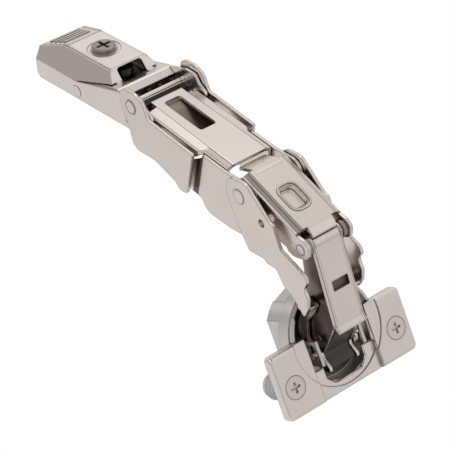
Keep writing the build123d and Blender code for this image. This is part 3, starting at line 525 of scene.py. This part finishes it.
def foldedPlate(name, plate, finish):
    # a strip bent along a line of points
    line, half, thick = plate["line"], plate["half"], plate["thick"]
    bm = bmesh.new()
    loop = line + [(x, z - thick) for x, z in reversed(line)]
    left = [bm.verts.new(spot(x, -half, z)) for x, z in loop]
    right = [bm.verts.new(spot(x, half, z)) for x, z in loop]
    count = len(loop)
    for i in range(count):
        j = (i + 1) % count
        bm.faces.new((left[i], left[j], right[j], right[i]))
    for side in (left, right):
        for i in range(len(line) - 1):
            bm.faces.new((side[i], side[i + 1], side[count - 2 - i], side[count - 1 - i]))
    bmesh.ops.recalc_face_normals(bm, faces=bm.faces)
    mesh = bpy.data.meshes.new(name)
    bm.to_mesh(mesh)
    bm.free()
    mesh.materials.append(finish)
    return keep(name, mesh)


piece = foldedPlate("coverWindowShade", windowShadeStrip, windowShadeSteel)
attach(piece, "rear_cover")
print("inner plate made")

# floor far below the hinge: white to the camera and darker in reflections,
# most of all over a card beside the hinge and behind the arm
floorLook = {
    "z": -0.150, "half": 3.0, "tone": 0.82, "shine": 0.57, "armShine": 0.12, "armEnd": (-0.22, -0.12),
    "cardDepth": 0.45, "cardNear": (0.0, 0.05), "cardFar": (0.35, 0.6),
}


def makeFloor():
    half, z, tone = floorLook["half"], floorLook["z"], floorLook["tone"]
    mesh = bpy.data.meshes.new("studioFloor")
    corners = [(-half, -half, z), (half, -half, z), (half, half, z), (-half, half, z)]
    mesh.from_pydata(corners, [], [(0, 1, 2, 3)])
    floor = keep("studioFloor", mesh)
    s = Shade("studioFloor")
    path = s.add("ShaderNodeLightPath", {}, [], None)
    seen = Wire(s, path.outputs["Is Camera Ray"])
    glossy = Wire(s, path.outputs["Is Glossy Ray"])
    clear = Wire(s, path.outputs["Is Transmission Ray"])
    pale = s.add("ShaderNodeBsdfDiffuse", {}, {"Color": (tone, tone, tone, 1)})
    white = s.add("ShaderNodeEmission", {}, {"Color": (1, 1, 1, 1), "Strength": 1.0})
    x, y, z = s.split(s.place())
    card = y.step(*floorLook["cardNear"]) * (1 - y.step(*floorLook["cardFar"]))
    beside = floorLook["shine"] - card * floorLook["cardDepth"]
    behind = (1 - x.step(*floorLook["armEnd"])) * floorLook["armShine"]
    shine = glossy * (beside - behind)
    surface = s.add("ShaderNodeMixShader", {}, [(seen + shine + clear).clamp(), pale, white])
    s.add("ShaderNodeOutputMaterial", {}, [surface], None)
    mesh.materials.append(s.material)


makeFloor()

# grey tones round the arm's length, by the angle about x in degrees: 0 is +y, 90 is up
skyTint = (1.0, 0.992, 0.984)
skyTones = [
    (-180, 0.42), (-155, 0.70), (-133, 0.74), (-110, 0.60), (-60, 0.30), (-30, 0.50), (-8, 0.64), (5, 0.76),
    (16, 0.76), (45, 1.02), (50, 0.88), (60, 0.70), (70, 0.76), (79, 0.80), (88, 0.42), (104, 0.26),
    (114, 0.60), (124, 1.1), (132, 1.5), (142, 1.0), (155, 0.50), (167, 0.42), (180, 0.42),
]


def makeWorld():
    world = bpy.data.worlds.new("studioWorld")
    scene.world = world
    world.use_nodes = True
    s = Shade("studioWorld", world.node_tree)
    x, y, z = s.split(s.add("ShaderNodeTexCoord", {}, [], "Generated"))
    around = z.math("ARCTAN2", y) / (2 * math.pi) + 0.5
    stops = [((angle + 180) / 360, tuple(level * t for t in skyTint)) for angle, level in skyTones]
    sky = s.add("ShaderNodeValToRGB", {"stops": stops}, [around], "Color")
    seen = s.add("ShaderNodeLightPath", {}, [], "Is Camera Ray")
    background = s.add("ShaderNodeBackground", {}, {"Color": s.mix(seen, sky, (1, 1, 1)), "Strength": 1.0})
    s.add("ShaderNodeOutputWorld", {}, [background], None)


makeWorld()

softbox = {"place": (-0.25, 0.35, 0.9), "aim": (0.04, 0, 0), "side": 0.5, "power": 0.6}


def makeSoftbox():
    lamp = bpy.data.lights.new("topSoftbox", "AREA")
    lamp.shape = "RECTANGLE"
    lamp.size, lamp.size_y = softbox["side"], softbox["side"]
    lamp.energy = softbox["power"]
    holder = bpy.data.objects.new("topSoftbox", lamp)
    scene.collection.objects.link(holder)
    holder.location = softbox["place"]
    towards = Vector(softbox["aim"]) - Vector(softbox["place"])
    holder.rotation_euler = towards.to_track_quat("-Z", "Y").to_euler()


makeSoftbox()

view = {
    "place": (0.50647, -0.34851, 0.35107), "right": (0.64553, 0.76094, -0.06530),
    "up": (-0.39049, 0.40231, 0.82805), "back": (0.65637, -0.50903, 0.55684),
    "lens": 160.3, "sensor": 36, "reach": 20,
}


def makeCamera():
    camera = bpy.data.objects.new("camera", bpy.data.cameras.new("camera"))
    scene.collection.objects.link(camera)
    camera.data.lens = view["lens"]
    camera.data.sensor_width, camera.data.sensor_fit = view["sensor"], "HORIZONTAL"
    camera.data.clip_end = view["reach"]
    pose = Matrix((view["right"], view["up"], view["back"])).transposed().to_4x4()
    pose.translation = view["place"]
    camera.matrix_world = pose
    scene.camera = camera


makeCamera()
print("studio ready")
